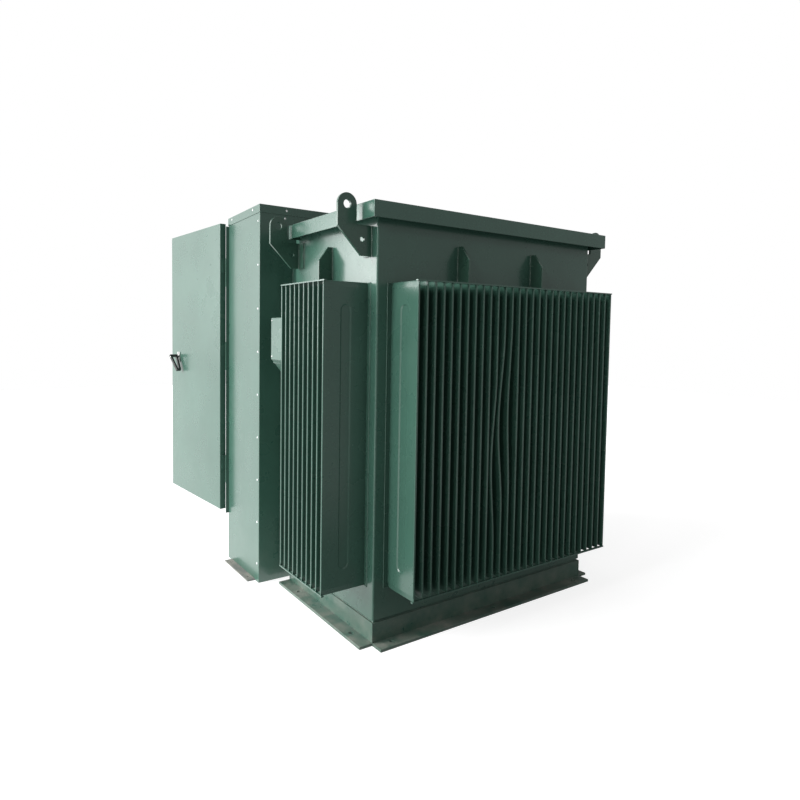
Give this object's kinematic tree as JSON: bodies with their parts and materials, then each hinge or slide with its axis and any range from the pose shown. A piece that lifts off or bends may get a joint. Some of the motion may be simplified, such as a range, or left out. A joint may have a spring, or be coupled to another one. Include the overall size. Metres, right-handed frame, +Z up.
{
  "type": "pad-mounted power transformer",
  "caption": "Pad-mounted power transformer: finned oil tank on a channel base, lifting lugs, and a terminal cabinet with one hinged door standing open and a turning latch handle.",
  "frame": {"origin": "plan centre of the tank, on the ground, on the underside of the base's middle member", "axes": "+Z up; +Y towards the long fin bank, away from the cabinet's doors; +X to the right for someone facing the doors"},
  "size_m": [1.8829, 2.1972, 1.965],
  "materials": {
    "green_paint": "gloss",
    "base_paint": "satin",
    "foot_steel": "satin",
    "insulator": "gloss",
    "zinc": "satin",
    "latch_dark": "satin"
  },
  "bodies": {
    "transformer": {"tank_body": "green_paint", "tank_base_plate": "green_paint", "tank_cover": "green_paint", "rear_fins": "green_paint", "right_fins": "green_paint", "left_fins": "green_paint", "rear_fin_bars": "green_paint", "right_fin_bars": "green_paint", "left_fin_bars": "green_paint", "rear_wall_ribs": "green_paint", "side_wall_ribs": "green_paint", "lifting_lug_rear_right": "green_paint", "lifting_lug_rear_left": "green_paint", "lifting_lug_front_right": "green_paint", "lifting_lug_front_left": "green_paint", "base_channel_rear": "base_paint", "base_channel_front": "base_paint", "base_channel_right": "base_paint", "base_channel_left": "base_paint", "base_cross_member": "base_paint", "terminal_throat": "green_paint", "cabinet_back_panel": "green_paint", "cabinet_side_right": "green_paint", "cabinet_side_left": "green_paint", "cabinet_roof": "green_paint", "front_jamb_right": "green_paint", "front_jamb_left": "green_paint", "front_sill": "green_paint", "front_header": "green_paint", "compartment_barrier": "green_paint", "side_instrument_box": "green_paint", "left_door_panel": "green_paint", "left_door_edges": "green_paint", "left_door_hinges": "green_paint", "right_hinge_post": "green_paint", "cabinet_feet": "foot_steel", "bushing_plate": "green_paint", "low_voltage_bushings": "insulator", "high_voltage_bushings": "insulator"},
    "right_door": {"right_door_panel": "green_paint", "right_door_edges": "green_paint", "right_door_stiffeners": "green_paint", "right_hinge_sleeves": "green_paint", "latch_plate": "zinc"},
    "handle": {"latch_handle": "latch_dark"}
  },
  "joints": [
    {"name": "right_door_swing", "type": "hinge", "parent": "transformer", "child": "right_door", "pos_m": [0.84, -0.914, 0.284], "axis": [0, 0, 1], "range_deg": [-95, 25]},
    {"name": "latch_turn", "type": "hinge", "parent": "right_door", "child": "handle", "pos_m": [0.92843, -1.53466, 1.145], "axis": [0.9962, 0.0872, 0], "range_deg": [-33, 57]}
  ]
}
